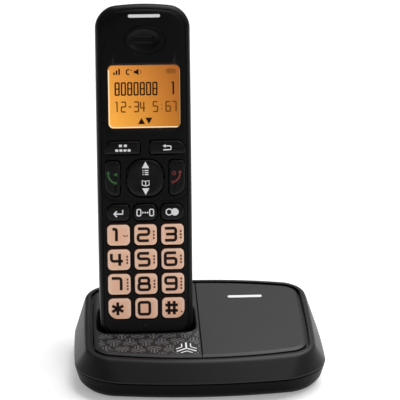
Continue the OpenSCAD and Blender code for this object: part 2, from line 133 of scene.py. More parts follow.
def foot_outline(side, front, r=PART_R, bow=PART_BOW):
    return base_outline(BASE_W - 2 * side, BASE_D - 2 * front, r - side, bow)


def rim_outline(t):
    return [(x, y + DECK_Y) for x, y in
            base_outline(RIM_W - 2 * t, RIM_D - 2 * t, max(RIM_R - t, 2), RIM_BOW)]


def hs_outline(side, top, bottom, n=14, m=14):
    w, h, r = HS_W - 2 * side, HS_LEN - top - bottom, 9.5 - min(side, 5) * 0.6
    return [(x, z + (HS_LEN - top + bottom) / 2) for x, z in bowed(rounded(w, h, r, n, m), w, h, (0.2, 2.4))]


def well_outline(t, n=10, m=8):
    pts = rounded(HS_W + 1.8 + 2 * t, HS_T + 1.4 + 2 * t, (7 + t, 7 + t, 4.5 + t, 4.5 + t), n, m)
    return [(x, y + HS_T / 2) for x, y in pts]


# ---------------------------------------------------------------- meshes
def new_object(name, verts, faces, mats=(), smooth=35.0, face_mats=None):
    mesh = bpy.data.meshes.new(name)
    mesh.from_pydata([Vector(v) * MM for v in verts], [], faces)
    for m in mats:
        mesh.materials.append(m)
    if face_mats:
        for p, k in zip(mesh.polygons, face_mats):
            p.material_index = k
    obj = bpy.data.objects.new(name, mesh)
    bpy.context.scene.collection.objects.link(obj)
    bm = bmesh.new()
    bm.from_mesh(mesh)
    bmesh.ops.recalc_face_normals(bm, faces=bm.faces)
    bm.to_mesh(mesh)
    bm.free()
    if smooth:
        soften(obj, smooth)
    return obj


def soften(obj, deg=35.0):
    """Smooth shading, with edges sharper than deg left hard."""
    bm = bmesh.new()
    bm.from_mesh(obj.data)
    for f in bm.faces:
        f.smooth = True
    for e in bm.edges:
        e.smooth = not (len(e.link_faces) == 2 and e.calc_face_angle(0) > math.radians(deg))
    bm.to_mesh(obj.data)
    bm.free()


def bake_modifiers(obj):
    """Replaces the object's mesh with its evaluated one."""
    bpy.context.view_layer.update()
    mesh = bpy.data.meshes.new_from_object(obj.evaluated_get(bpy.context.evaluated_depsgraph_get()))
    obj.modifiers.clear()
    obj.data = mesh


def level_normals(obj):
    """Lets large faces set the shading beside them, so cut surfaces stay smooth."""
    w = obj.modifiers.new("weighted", "WEIGHTED_NORMAL")
    w.keep_sharp = True
    w.weight = 80
    bake_modifiers(obj)


def cut(obj, cutters, op="DIFFERENCE"):
    for c in cutters:
        m = obj.modifiers.new("cut", "BOOLEAN")
        m.operation, m.solver, m.object = op, "EXACT", c
        bake_modifiers(obj)
    for c in cutters:
        bpy.data.objects.remove(c)
    return obj


def loft(name, rings, mats=(), caps=(True, True), loop=False, smooth=35.0, seg_mats=None, cap_mats=(0, 0)):
    """Skin through rings of the same count; loop joins the last ring to the first."""
    n = len(rings[0])
    verts = [p for r in rings for p in r]
    faces, fm = [], []
    for i in range(len(rings) if loop else len(rings) - 1):
        j = (i + 1) % len(rings)
        for k in range(n):
            l = (k + 1) % n
            faces.append((i * n + k, i * n + l, j * n + l, j * n + k))
            fm.append(seg_mats[i] if seg_mats else 0)
    if not loop and caps[0]:
        faces.append(tuple(range(n - 1, -1, -1)))
        fm.append(cap_mats[0])
    if not loop and caps[1]:
        faces.append(tuple((len(rings) - 1) * n + k for k in range(n)))
        fm.append(cap_mats[1])
    return new_object(name, verts, faces, mats, smooth, fm)


def prism(name, pts, a, b, place, mats=()):
    """Prism of an outline in the handset's x-z plane between depths a and b, or in x-y for other places."""
    if place is hs:
        rings = [[hs(x, d, z) for x, z in pts] for d in (a, b)]
    else:
        rings = [[place(x, y, d) for x, y in pts] for d in (a, b)]
    return loft(name, rings, mats)


def box_of(name, lo, hi, place=row, mats=()):
    pts = [(lo[0], lo[1]), (hi[0], lo[1]), (hi[0], hi[1]), (lo[0], hi[1])]
    rings = [[place(x, y, z) for x, y in pts] for z in (lo[2], hi[2])]
    return loft(name, rings, mats)


def circle(cx, cy, r, n=40):
    return [(cx + r * math.cos(2 * math.pi * i / n), cy + r * math.sin(2 * math.pi * i / n))
            for i in range(n)]


def spline(rows, k=5):
    """Catmull-Rom samples through rows of numbers, k per stretch."""
    out = []
    for i in range(len(rows) - 1):
        p0, p1, p2 = rows[max(i - 1, 0)], rows[i], rows[i + 1]
        p3 = rows[min(i + 2, len(rows) - 1)]
        for s in range(k):
            t = s / k
            out.append([0.5 * (2 * b + (c - a) * t + (2 * a - 5 * b + 4 * c - d) * t * t
                               + (3 * b - a - 3 * c + d) * t ** 3) for a, b, c, d in zip(p0, p1, p2, p3)])
    out.append(list(rows[-1]))
    return out


# ---------------------------------------------------------------- strokes for legends
def fillet(path, r, closed=False, k=5):
    """Polyline with its corners rounded to radius r."""
    pts = [Vector(p) for p in path]
    n = len(pts)
    out = []
    for i in range(n):
        if not closed and i in (0, n - 1):
            out.append(pts[i])
            continue
        a, b, c = pts[i - 1], pts[i], pts[(i + 1) % n]
        u, v = (a - b), (c - b)
        d = min(r, u.length * 0.5, v.length * 0.5)
        u, v = b + u.normalized() * d, b + v.normalized() * d
        for s in range(k + 1):
            t = s / k
            out.append(u * (1 - t) ** 2 + b * 2 * t * (1 - t) + v * t * t)
    return out


def stroke(pts, width, place, closed=False):
    """Flat ribbon along pts; place maps (x, y) to the row frame. Returns verts and faces."""
    n = len(pts)
    left, right = [], []
    for i in range(n):
        a = pts[i - 1] if (i or closed) else pts[i]
        b = pts[(i + 1) % n] if (i < n - 1 or closed) else pts[i]
        d = (b - a)
        d = d.normalized() if d.length > 1e-9 else Vector((1, 0))
        nrm = Vector((-d.y, d.x)) * width / 2
        left.append(pts[i] + nrm)
        right.append(pts[i] - nrm)
    verts = [place(p.x, p.y) for p in left] + [place(p.x, p.y) for p in right]
    faces = [(i, (i + 1) % n, n + (i + 1) % n, n + i) for i in range(n if closed else n - 1)]
    return verts, faces


def disc(cx, cy, r, place, n=20):
    pts = circle(cx, cy, r, n)
    return [place(*p) for p in pts], [tuple(range(n))]


def flat(pts, place):
    return [place(*p) for p in pts], [tuple(range(len(pts)))]


def material(name, color, rough=0.5, grain=0.3, bump=0.12, vary=0.1, metal=0.0, spec=0.5, coat=0.0):
    """Moulded or printed surface: fine grain in the bump, slow change in tone and roughness."""
    m = bpy.data.materials.new(name)
    m.use_nodes = True
    nt = m.node_tree
    b = nt.nodes["Principled BSDF"]
    tc = nt.nodes.new("ShaderNodeTexCoord")
    fine = nt.nodes.new("ShaderNodeTexNoise")
    fine.inputs["Scale"].default_value = 1 / (grain * MM)
    fine.inputs["Detail"].default_value = 3
    slow = nt.nodes.new("ShaderNodeTexNoise")
    slow.inputs["Scale"].default_value = 45
    slow.inputs["Detail"].default_value = 2
    nt.links.new(tc.outputs["Object"], fine.inputs["Vector"])
    nt.links.new(tc.outputs["Object"], slow.inputs["Vector"])
    bp = nt.nodes.new("ShaderNodeBump")
    bp.inputs["Strength"].default_value = bump
    bp.inputs["Distance"].default_value = grain * 0.25 * MM
    nt.links.new(fine.outputs["Fac"], bp.inputs["Height"])
    nt.links.new(bp.outputs["Normal"], b.inputs["Normal"])
    ramp = nt.nodes.new("ShaderNodeValToRGB")
    ramp.color_ramp.elements[0].position, ramp.color_ramp.elements[1].position = 0.3, 0.7
    ramp.color_ramp.elements[0].color = [c * (1 - vary) for c in color] + [1]
    ramp.color_ramp.elements[1].color = [min(c * (1 + vary), 1) for c in color] + [1]
    nt.links.new(slow.outputs["Fac"], ramp.inputs["Fac"])
    nt.links.new(ramp.outputs["Color"], b.inputs["Base Color"])
    mr = nt.nodes.new("ShaderNodeMapRange")
    mr.inputs["To Min"].default_value = max(rough - 0.05, 0.02)
    mr.inputs["To Max"].default_value = rough + 0.05
    nt.links.new(fine.outputs["Fac"], mr.inputs["Value"])
    nt.links.new(mr.outputs["Result"], b.inputs["Roughness"])
    b.inputs["Metallic"].default_value = metal
    b.inputs["Specular IOR Level"].default_value = spec
    b.inputs["Coat Weight"].default_value = coat
    return m


def glow(m, color, strength):
    b = m.node_tree.nodes["Principled BSDF"]
    b.inputs["Emission Color"].default_value = list(color) + [1]
    b.inputs["Emission Strength"].default_value = strength
    return m


def edge_glow(m, middle, edge, strength, start=0.5, end=0.95):
    """Light from below: one colour at the middle of the piece's box and another at its border."""
    nt = m.node_tree
    b = nt.nodes["Principled BSDF"]
    tc = nt.nodes.new("ShaderNodeTexCoord")
    sep = nt.nodes.new("ShaderNodeSeparateXYZ")
    nt.links.new(tc.outputs["Generated"], sep.inputs["Vector"])
    sides = []
    for axis in ("X", "Z"):
        a = nt.nodes.new("ShaderNodeMath")
        a.operation = "SUBTRACT"
        a.inputs[1].default_value = 0.5
        nt.links.new(sep.outputs[axis], a.inputs[0])
        c = nt.nodes.new("ShaderNodeMath")
        c.operation = "ABSOLUTE"
        nt.links.new(a.outputs[0], c.inputs[0])
        sides.append(c)
    top = nt.nodes.new("ShaderNodeMath")
    top.operation = "MAXIMUM"
    nt.links.new(sides[0].outputs[0], top.inputs[0])
    nt.links.new(sides[1].outputs[0], top.inputs[1])
    mr = nt.nodes.new("ShaderNodeMapRange")
    mr.interpolation_type = "SMOOTHSTEP"
    mr.inputs["From Min"].default_value, mr.inputs["From Max"].default_value = start / 2, end / 2
    nt.links.new(top.outputs[0], mr.inputs["Value"])
    ramp = nt.nodes.new("ShaderNodeValToRGB")
    ramp.color_ramp.elements[0].color = list(middle) + [1]
    ramp.color_ramp.elements[1].color = list(edge) + [1]
    nt.links.new(mr.outputs["Result"], ramp.inputs["Fac"])
    nt.links.new(ramp.outputs["Color"], b.inputs["Emission Color"])
    b.inputs["Emission Strength"].default_value = strength
    return m


BLACK = material("shell_plastic", (0.0075, 0.0075, 0.0084), 0.42, 0.35, 0.18, 0.08, spec=0.28)
# lower shell: the base's black plastic made darker still, as painted shade on the lower part of the base
LOWER_SHADED = material("lower_shell_plastic_painted_shade", (0.002, 0.002, 0.0023), 0.4, 0.35, 0.18, 0.08, spec=0.06)
FACE = material("handset_plastic", (0.0036, 0.0033, 0.0038), 0.36, 0.3, 0.14, 0.08, spec=0.14)
DECK = material("deck_plastic", (0.0125, 0.0125, 0.0135), 0.46, 0.35, 0.2, 0.07, spec=0.42)
# grey of the deck pattern: painted highlight standing in for the raised arms of the relief
RELIEF_HIGHLIGHT = material("relief_painted_highlight", (0.13, 0.13, 0.137), 0.4, 0.3, 0.1, 0.08, spec=0.5)
KEYBLACK = material("function_key_plastic", (0.0035, 0.0035, 0.004), 0.34, 0.25, 0.1, 0.08, spec=0.2)
CAP = edge_glow(material("number_key_plastic", (0.52, 0.38, 0.3), 0.34, 0.3, 0.05, 0.04, spec=0.4),
                (0.62, 0.27, 0.13), (0.66, 0.4, 0.28), 0.5)
# side walls of the number keys: the dark brown colour is painted shade on the same plastic as the tops, with a
# faint painted orange glow from the backlight
CAP_SIDE_SHADE = glow(material("number_key_side_painted_shade", (0.06, 0.02, 0.008), 0.5, 0.3, 0.05, 0.05),
                (1.0, 0.25, 0.05), 0.035)
DIGIT = material("print_black", (0.012, 0.004, 0.003), 0.5, 0.3, 0.05, 0.1, spec=0.2)
BROWN = material("print_brown", (0.16, 0.05, 0.022), 0.6, 0.3, 0.05, 0.1, spec=0.2)
# white print: the faint white emission is painted glow that brightens the print
WHITE_PRINT_GLOW = glow(material("print_white_painted_glow", (0.75, 0.75, 0.76), 0.5, 0.3, 0.05, 0.03), (1, 1, 1), 0.12)
# green and red key icons: print with a faint emission, painted glow on the print
GREEN_PRINT_GLOW = glow(material("print_green_painted_glow", (0.03, 0.12, 0.03), 0.5, 0.3, 0.05, 0.05), (0.2, 0.6, 0.2), 0.02)
RED_PRINT_GLOW = glow(material("print_red_painted_glow", (0.22, 0.02, 0.02), 0.5, 0.3, 0.05, 0.05), (0.8, 0.15, 0.1), 0.02)
LIT = glow(material("edge_light", (0.3, 0.2, 0.1), 0.5, 0.3, 0.05, 0.05), (1.0, 0.88, 0.62), 0.95)
LIT2 = glow(material("edge_light_dim", (0.2, 0.1, 0.05), 0.5, 0.3, 0.05, 0.05), (1.0, 0.75, 0.45), 0.6)
INK = material("lcd_ink", (0.03, 0.008, 0.002), 0.6, 0.3, 0.05, 0.1, spec=0.1)
INK2 = glow(material("lcd_ink_light", (0.1, 0.03, 0.004), 0.6, 0.3, 0.05, 0.1, spec=0.1),
            (0.3, 0.1, 0.01), 0.3)
RUBBER = material("rubber", (0.01, 0.01, 0.01), 0.75, 0.5, 0.4, 0.15, spec=0.25)
GOLD = material("contact_gold", (0.85, 0.6, 0.22), 0.28, 0.2, 0.1, 0.06, metal=1.0)
STEEL = material("bright_steel", (0.6, 0.6, 0.62), 0.3, 0.15, 0.2, 0.06, metal=1.0)
TIN = material("tin_plate", (0.66, 0.67, 0.7), 0.42, 0.25, 0.2, 0.08, metal=1.0)
BOARD = material("solder_mask", (0.012, 0.1, 0.035), 0.35, 0.6, 0.3, 0.25, coat=0.3)
MAT = material("silicone", (0.62, 0.6, 0.56), 0.6, 0.4, 0.2, 0.05)
MILKY = material("light_guide", (0.85, 0.83, 0.78), 0.25, 0.4, 0.05, 0.03)
CHIP = material("component", (0.02, 0.02, 0.022), 0.45, 0.3, 0.2, 0.15)
SOCKET = material("socket_plastic", (0.015, 0.015, 0.016), 0.4, 0.3, 0.12, 0.1)
CARRIER = material("carrier_plastic", (0.6, 0.58, 0.53), 0.45, 0.3, 0.15, 0.05)
SPEAKER = material("transducer", (0.03, 0.03, 0.032), 0.5, 0.25, 0.3, 0.1)
CELL = material("cell_sleeve", (0.02, 0.24, 0.07), 0.28, 0.4, 0.08, 0.06, coat=0.4)


def glass_material():
    m = bpy.data.materials.new("display_window")
    m.use_nodes = True
    nt = m.node_tree
    b = nt.nodes["Principled BSDF"]
    b.inputs["Base Color"].default_value = (1, 0.97, 0.93, 1)
    b.inputs["Transmission Weight"].default_value = 1.0
    b.inputs["IOR"].default_value = 1.25
    b.inputs["Specular IOR Level"].default_value = 0.35
    tc = nt.nodes.new("ShaderNodeTexCoord")
    n = nt.nodes.new("ShaderNodeTexNoise")
    n.inputs["Scale"].default_value = 300
    nt.links.new(tc.outputs["Object"], n.inputs["Vector"])
    mr = nt.nodes.new("ShaderNodeMapRange")
    mr.inputs["To Min"].default_value, mr.inputs["To Max"].default_value = 0.02, 0.06
    nt.links.new(n.outputs["Fac"], mr.inputs["Value"])
    nt.links.new(mr.outputs["Result"], b.inputs["Roughness"])
    return m


def lcd_material():
    """Amber backlit liquid crystal: darker at the top left, brightest at the left and lower edges."""
    m = material("lcd_amber", (0.1, 0.04, 0.008), 0.5, 0.3, 0.04, 0.04, spec=0.2)
    nt = m.node_tree
    b = nt.nodes["Principled BSDF"]
    tc = nt.nodes.new("ShaderNodeTexCoord")
    sep = nt.nodes.new("ShaderNodeSeparateXYZ")
    nt.links.new(tc.outputs["Generated"], sep.inputs["Vector"])
    up = nt.nodes.new("ShaderNodeValToRGB")
    up.color_ramp.elements[0].color = (0.97, 0.45, 0.062, 1)
    up.color_ramp.elements[1].color = (0.74, 0.29, 0.05, 1)
    nt.links.new(sep.outputs["Z"], up.inputs["Fac"])
    side = nt.nodes.new("ShaderNodeValToRGB")
    side.color_ramp.elements[0].color = (1.0, 1.0, 1.0, 1)
    side.color_ramp.elements[1].color = (0.44, 0.32, 0.25, 1)
    side.color_ramp.elements[1].position = 1.0
    nt.links.new(sep.outputs["X"], side.inputs["Fac"])
    mix = nt.nodes.new("ShaderNodeMix")
    mix.data_type, mix.blend_type = "RGBA", "MULTIPLY"
    mix.inputs["Factor"].default_value = 1
    nt.links.new(up.outputs["Color"], mix.inputs["A"])
    nt.links.new(side.outputs["Color"], mix.inputs["B"])
    nt.links.new(mix.outputs["Result"], b.inputs["Emission Color"])
    b.inputs["Emission Strength"].default_value = 1.04
    return m


GLASS, LCD = glass_material(), lcd_material()


def dress(mat, *names):
    for n in names:
        mesh = NODES[n].data
        mesh.materials.clear()
        mesh.materials.append(mat)


dress(BOARD, "base_pcb", "handset_pcb")
dress(SOCKET, "line_jack", "power_jack")
dress(TIN, "rf_module", "handset_rf_shield", "microphone", "key_domes")
dress(CHIP, "base_components", "page_switch")
dress(CARRIER, "contact_carrier")
dress(STEEL, "base_screws", "charge_spring_left", "charge_spring_right", "battery_springs", "battery_plates",
      "handset_screws")
dress(GOLD, "charge_pin_left", "charge_pin_right", "charge_pads")
dress(RUBBER, "rubber_feet")
dress(SPEAKER, "earpiece_speaker", "earpiece_mesh", "ringer_speaker")
dress(CELL, "battery_left", "battery_right")
dress(MAT, "keypad_mat")
dress(MILKY, "backlight_plate")


# ---------------------------------------------------------------- base
def deck_ring(t, z):
    return [deck(x, y, z) for x, y in rim_outline(t)]


def foot_ring(side, front, z, shape=(PART_R, PART_BOW)):
    return [Vector((x, y, z)) for x, y in foot_outline(side, front, *shape)]


def mixed(a, b, t):
    return [p.lerp(q, t) for p, q in zip(a, b)]


def build_upper_shell():
    low, crease, flat_top = foot_ring(0, 0, 11.2), deck_ring(0.2, 0.0), deck_ring(1.5, 0.0)
    rings = [foot_ring(0.5, 0.5, PART_Z), foot_ring(0.14, 0.14, PART_Z + 0.14), low]
    for t in (0.15, 0.3, 0.45, 0.6, 0.75, 0.86):
        rings.append(mixed(low, crease, t))
    start = rings[-1]
    for t in (0.2, 0.4, 0.6, 0.8):
        rings.append(mixed(mixed(start, crease, t), mixed(crease, flat_top, t), t))
    rings += [flat_top, deck_ring(2.3, 0.0), deck_ring(2.52, -0.08), deck_ring(GROOVE_IN, -0.3),
              deck_ring(GROOVE_IN, -2.0), deck_ring(8.5, -2.0), deck_ring(8.5, -3.8), deck_ring(3.6, -3.8),
              foot_ring(2.2, 2.2, 12.0), foot_ring(2.0, 2.0, PART_Z)]
    shell = loft("upper_shell", rings, [BLACK], loop=True)
    cutters = []
    for x in (LINE_X, POWER_X):
        cutters.append(box_of("w", (x - JACK_W / 2 - 0.2, 34, 9.0),
                              (x + JACK_W / 2 + 0.2, 52, JACK_TOP + 0.2)))
    cutters.append(loft("h", [[Vector((x, d, z)) for x, z in circle(PAGE_X, PAGE_Z, r)]
                              for d, r in ((36, PAGE_R + 0.3), (44.5, PAGE_R + 0.3), (46.5, PAGE_R + 0.9))]))
    cutters.append(box_of("l", (-52.6, -18, -9), (-45, 22, -1.9), deck))
    cut(shell, cutters)
    soften(shell)
    level_normals(shell)
    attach(shell, "base")
    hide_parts("base_upper_shell")


def build_lower_shell():
    rings = [foot_ring(7.6, 7.6, 3.3, SOLE), foot_ring(4.4, 5.6, 4.7, TURN), foot_ring(2.3, 2.3, 10.4),
             foot_ring(0.75, 0.75, 10.4), foot_ring(0.4, 0.4, 10.25), foot_ring(0.3, 0.3, 9.8)]
    side, turn, floor = rings[-1], foot_ring(2.3, 3.5, 2.9, TURN), foot_ring(5.6, 5.6, FOOT_Z, SOLE)
    for t in (0.25, 0.5, 0.75):
        rings.append(mixed(side, turn, t))
    start = mixed(side, turn, 0.75)
    for t in (0.2, 0.4, 0.6, 0.8):
        rings.append(mixed(mixed(start, turn, t), mixed(turn, floor, t), t))
    rings += [floor, foot_ring(13.8, 9.3, FOOT_Z), foot_ring(14, 9.5, FOOT_Z - 0.1),
              foot_ring(14, 9.5, 0.45), foot_ring(14.2, 9.7, 0.3)]
    shell = loft("lower_shell", rings, [LOWER_SHADED])
    bosses = [prism("b", circle(x, y, 4.4), 2.4, 10.0, row) for x, y in SCREWS]
    cut(shell, bosses, "UNION")
    cutters = [prism("p", circle(x, y, 3.1), -1, 5.3, row) for x, y in SCREWS]
    cutters += [prism("s", circle(x, y, 1.7, 24), 5, 11, row) for x, y in SCREWS]
    cutters += [prism("f", circle(x, y, 5), -1, 1.0, row) for x, y in FEET]
    cut(shell, cutters)
    soften(shell)
    level_normals(shell)
    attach(shell, "base")
    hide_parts("base_lower_shell")


def deck_panel(name):
    """Whole deck panel with a dropped, rounded border."""
    under = PANEL_UP - PANEL_T
    rings = [deck_ring(PANEL_IN, under), deck_ring(PANEL_IN, -0.55), deck_ring(PANEL_IN + 0.12, -0.3),
             deck_ring(PANEL_IN + 0.5, -0.1), deck_ring(PANEL_IN + 1.25, 0.26),
             deck_ring(PANEL_IN + 1.45, 0.35), deck_ring(PANEL_IN + 1.8, PANEL_UP)]
    return loft(name, rings, [DECK])


def half_space(sign):
    """Cutter that keeps one side of the seam, with a small chamfer on the top edge."""
    rings = []
    for z, dx in ((-6, 0.15), (0.1, 0.15), (PANEL_UP + 0.02, 0.4), (3, 3)):
        a, b = (SEAM_X - dx, -90) if sign < 0 else (SEAM_X + dx, 90)
        rings.append([deck(x, y, z) for x, y in ((a, -70), (b, -70), (b, 70), (a, 70))])
    return loft("half", rings)


def to_deck(x, y, dz):
    """The height along the handset where a line of the well meets the plane dz above the deck."""
    n = Vector((0, -math.sin(_t), math.cos(_t)))
    base, step = hs(x, y, 0) - Vector((0, 0, DECK_Z)), hs(0, 0, 1) - hs(0, 0, 0)
    return hs(x, y, (dz - base.dot(n)) / step.dot(n))


def well_ring(t, bow=0.9):
    """Outline of the well; its front bows forwards a little, as the handset's face does."""
    out = []
    for x, y in well_outline(t):
        f = max(0.0, 1 - y / (HS_T / 2))
        out.append((x, y - bow * f * max(0.0, 1 - (2 * x / HS_W) ** 2)))
    return out


def build_cradle_panel():
    panel = deck_panel("cradle_top")
    wall = well_ring(1.6)
    cup = loft("cup", [[hs(x, y, WELL_FLOOR - 1.4) for x, y in wall], [to_deck(x, y, -0.4) for x, y in wall]])
    cut(panel, [half_space(-1)], "INTERSECT")
    cut(panel, [cup], "UNION")
    inner = [[hs(x, y, WELL_FLOOR) for x, y in well_ring(0)]]
    for t, dz in ((0, -1.4), (0.06, -0.9), (0.2, -0.4), (0.45, 0.0), (0.85, 0.3), (1.3, 0.48), (1.7, 1.5)):
        inner.append([to_deck(x, y, dz) for x, y in well_ring(t)])
    cutters = [loft("well", inner)]
    for x in (-PIN_X, PIN_X):
        cutters.append(loft("pin", [[hs(a, b, z) for a, b in circle(x, PIN_DEPTH, 2.2, 32)]
                                    for z in (-5, 3)]))
    cut(panel, cutters)
    rib = loft("rib", [[hs(x, y, z) for x, y in rounded(4 + 2 * g, 9.5 + 2 * g, 1.2, 4)] for z, g in
                       ((WELL_FLOOR - 0.5, 0.3), (-0.35, 0), (-0.1, -0.1), (-0.03, -0.35))])
    for v in rib.data.vertices:
        v.co += (hs(0, 9.75, 0) - hs(0, 0, 0)) * MM
    cut(panel, [rib], "UNION")
    soften(panel)
    level_normals(panel)
    panel.name = "cradle_top"
    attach(panel, "base")
    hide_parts("cradle_panel")


def build_cover_panel():
    panel = deck_panel("cover_top")
    cut(panel, [half_space(1)], "INTERSECT")
    soften(panel)
    level_normals(panel)
    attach(panel, "base")
    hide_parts("cover_panel")


def build_page_button():
    prof = [(PAGE_R + 1.1, 40.1), (PAGE_R + 1.1, 41.2), (PAGE_R, 41.2), (PAGE_R, 45.3),
            (PAGE_R - 0.15, 45.65), (PAGE_R - 0.5, 45.85), (PAGE_R - 1.2, 45.9), (PAGE_R - 1.9, 45.7),
            (PAGE_R - 2.4, 45.6)]
    rings = [[Vector((x, d, z)) for x, z in circle(PAGE_X, PAGE_Z, r, 48)] for r, d in prof]
    b = loft("paging_button", rings, [KEYBLACK])
    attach(b, "page_button_body")
    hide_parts("page_button")


# ---------------------------------------------------------------- handset
FRONT = [(0, 0.53, 0, HS_SPLIT - 0.05), (0, 0.25, 0, 6.5), (0, 0, 0, 4.4), (0.12, 0.12, 0.12, 3.3),
         (0.42, 0.42, 0.42, 2.4), (0.9, 0.9, 0.9, 1.65), (1.5, 1.5, 1.5, 1.15), (2.0, 2.0, 2.0, 0.88)]
FACE_ROWS = [(2.12, 2.12, 2.12, 0.95), (2.3, 2.3, 2.3, 1.1), (2.5, 2.46, 2.46, 0.95),
             (2.65, 2.56, 2.56, 0.78),
             (3.4, 2.75, 2.75, 0.6), (4.4, 2.95, 2.95, 0.46), (5.6, 3.15, 3.15, 0.33), (7.2, 3.4, 3.4, 0.19),
             (9, 3.65, 3.65, 0.08), (11, 3.9, 3.9, 0.0)]
INNER = [(1.8, 2.3, 1.8, HS_SPLIT - 0.05), (1.8, 1.9, 1.8, 5.4), (2.36, 2.4, 2.4, 3.6), (4.03, 4, 4, 2.48),
         (7.0, 4.5, 4.5, 2.1), (12.0, 5, 5, 1.8)]
BACK = spline([(0, 0.54, 0, 9.05), (0, 1.2, 0, 15), (1.4, 5.5, 1.5, 19.5), (4.6, 13, 4, 22.8),
               (9.4, 24, 8, 24.6), (13, 34, 12, 25)])
BACK_IN = spline([(1.8, 2.3, 1.8, 9.05), (1.8, 3, 1.8, 14.6), (3.1, 7.3, 3.3, 18.5), (6.1, 14.8, 5.8, 21.3),
                  (10.5, 25.8, 9.8, 22.86), (13.9, 35.8, 13.8, 23.2)], 3)


def hs_ring(side, top, bottom, y):
    return [hs(x, y, z) for x, z in hs_outline(side, top, bottom)]


def key_outline(k, g):
    x0, z0, w, h, r = k
    pts = rounded(w + 2 * g, h + 2 * g, [max(v + g, 0.3) for v in r], 8)
    return [(x0 + x, z0 + z) for x, z in pts]


def key_cutter(k):
    """Hole for a key, flared a little at the face."""
    rings = [[hs(x, y, z) for x, z in key_outline(k, g)] for y, g in
             ((-2.5, 1.1), (-0.05, 0.72), (0.25, 0.5), (0.5, 0.36), (0.8, 0.3), (4, 0.3))]
    return loft("hole", rings)


def build_front_shell():
    rings = [hs_ring(*r) for r in INNER[::-1]] + [hs_ring(*r) for r in FRONT + FACE_ROWS]
    shell = loft("front_shell", rings, [FACE])
    cutters = [key_cutter(k) for k in KEYS.values()] + [key_cutter(NAV)]
    win = [(0.3 + x, LCD_Z + z) for x, z in rounded(35.8, 31.6, 2.9)]
    glassy = [(0.3 + x, LCD_Z + z) for x, z in rounded(34.8, 30.6, 2.4)]
    flare = [(0.3 + x, LCD_Z + z) for x, z in rounded(37.4, 33.2, 3.6)]
    cutters.append(loft("win", [[hs(x, -2, z) for x, z in flare], [hs(x, 0.1, z) for x, z in flare],
                                [hs(x, 0.62, z) for x, z in win], [hs(x, 1.5, z) for x, z in win]]))
    cutters.append(prism("win2", glassy, 1.0, 5, hs))
    ear = []
    for y, s in ((-1.5, 9.8), (0.0, 8.0), (0.25, 7.4), (0.5, 6.6), (0.72, 5.6), (0.86, 4.4), (0.92, 3.0)):
        ear.append([hs(0.3 + s * math.cos(a), y, EAR_Z + 0.7 * s * math.sin(a))
                    for a in [2 * math.pi * i / 56 for i in range(56)]])
    cutters.append(loft("ear", ear))
    for z in (EAR_Z - 1.4, EAR_Z + 1.4):
        cutters.append(prism("slot", [(x, z + dz) for x, dz in rounded(11.2, 1.15, 0.56)], -1, 5, hs))
    cutters.append(prism("mic", circle(-0.4, 10.4, 0.6, 20), -1, 5, hs))
    # fine line around the dish and the line under the rocker
    ring = [(0.9 + 10.1 * math.cos(a), EAR_Z + 0.1 + 7.1 * math.sin(a)) for a in
            [2 * math.pi * i / 64 for i in range(64)]]
    cutters.append(groove("ring", ring, 0.6, 0.26, True))
    u = [(-21.0, 93), (-21.0, 80), (-19.6, 75.6), (-16.6, 73.6), (-11, 72.9), (0.4, 72.7), (11.6, 72.9),
         (17.4, 73.6), (20.4, 75.6), (21.6, 80), (21.6, 93)]
    cutters.append(groove("under", [tuple(p) for p in spline(u, 4)], 0.42, 0.2, False))
    cut(shell, cutters)
    soften(shell, 40)
    level_normals(shell)
    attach(shell, "handset")
    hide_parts("handset_front_shell")


def face_y(x):
    """Depth of the crowned face at x."""
    s = HS_W / 2 - abs(x)
    rows = FACE_ROWS[3:]
    if s >= 11:
        return 0.0
    for a, b in zip(rows, rows[1:]):
        if s <= b[0]:
            t = (s - a[0]) / (b[0] - a[0])
            return a[3] + (b[3] - a[3]) * t
    return 0.0


def groove(name, pts, width, deep, closed):
    """Cutter that follows a line on the face: a shallow V."""
    n = len(pts)
    rows = []
    for i in range(n):
        a = Vector(pts[i - 1] if (i or closed) else pts[i])
        b = Vector(pts[(i + 1) % n] if (i < n - 1 or closed) else pts[i])
        d = (b - a).normalized()
        nrm = Vector((-d.y, d.x))
        p, y = Vector(pts[i]), face_y(pts[i][0])
        rows.append([hs(*(lambda q, e: (q.x, y + e, q.y))(p + nrm * s, e))
                     for s, e in ((-width, -0.9), (-width / 2, -0.03), (0, deep), (width / 2, -0.03),
                                  (width, -0.9))])
    return loft(name, rows, loop=closed)


def build_back_shell():
    rings = [hs_ring(*r) for r in BACK_IN[::-1]] + [hs_ring(*r) for r in BACK]
    shell = loft("back_shell", rings, [FACE])
    lo, hi = BAY[0] - 0.15, BAY[1] + 0.15
    cut(shell, [prism("tray", [(-17.6, lo - 1.45), (17.6, lo - 1.45), (17.6, hi + 1.45), (-17.6, hi + 1.45)],
                      10.2, 22.6, hs)], "UNION")
    cutters = [prism("bay", [(-16.15, lo), (16.15, lo), (16.15, hi), (-16.15, hi)], 11.4, 30, hs)]
    for i in range(-2, 3):
        w = 14 - abs(i) * 2.4
        cutters.append(prism("slot", [(x, 126 + i * 3 + z) for x, z in rounded(w, 1.3, 0.64)], 20, 27, hs))
    for x in (-13, 13):
        cutters.append(prism("screw", circle(x, 146, 2.1, 32), 19.2, 30, hs))
    for x in (-PIN_X, PIN_X):
        cutters.append(loft("pad", [[hs(x + a, PIN_DEPTH + b, z) for a, b in rounded(5.2, 5.2, 0.4, 3)]
                                    for z in (-1, 0.6)]))
    boss = [prism("boss", circle(x, 146, 2.9, 32), 17.5, 23, hs) for x in (-13, 13)]
    cut(shell, boss, "UNION")
    cut(shell, cutters)
    soften(shell, 40)
    level_normals(shell)
    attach(shell, "handset")
    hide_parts("handset_back_shell")


